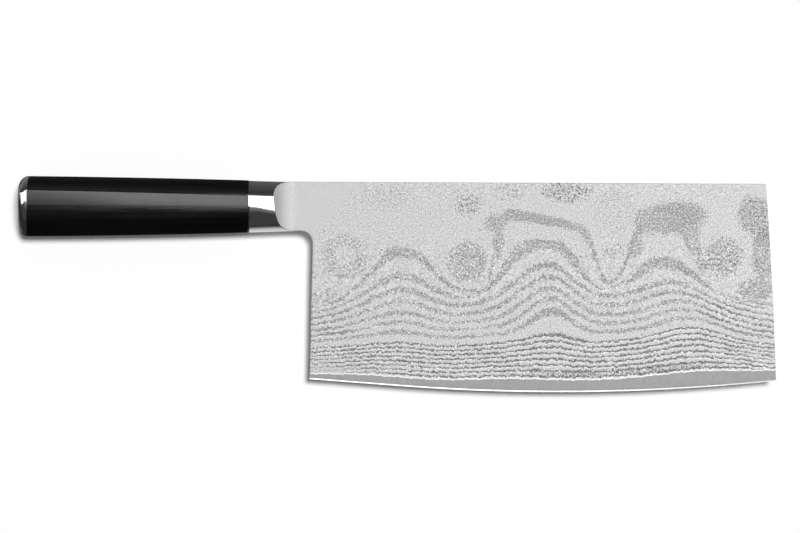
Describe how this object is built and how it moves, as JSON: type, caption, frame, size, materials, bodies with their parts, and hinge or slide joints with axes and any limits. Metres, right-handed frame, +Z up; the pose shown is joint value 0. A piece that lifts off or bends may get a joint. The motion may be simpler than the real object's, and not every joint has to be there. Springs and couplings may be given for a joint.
{
  "type": "chinese cleaver",
  "caption": "Tall rectangular kitchen cleaver with a pattern-welded laminated blade, scooped polished bolster, black D-section wood grip and steel end cap.",
  "frame": {"origin": "middle of the underside of the knife's box, with the knife lying on its left side", "axes": "+X from the butt to the toe of the blade, +Y from the cutting edge to the spine, +Z up, out of the right face"},
  "size_m": [0.2922, 0.0834, 0.0186],
  "materials": {
    "core_steel": "satin ground",
    "clad_steel": "etched wave pattern, satin",
    "polished_steel": "mirror polished",
    "tang_steel": "mill finish",
    "black_wood": "resin-laminated, satin",
    "epoxy": "cured resin"
  },
  "bodies": {
    "root": {"blade_core": "core_steel", "right_cladding": "clad_steel", "left_cladding": "clad_steel", "bolster": "polished_steel", "end_cap": "polished_steel", "tang_bar": "tang_steel", "tang_stud": "tang_steel", "handle_grip": "black_wood", "adhesive_bed": "epoxy"}
  },
  "joints": []
}
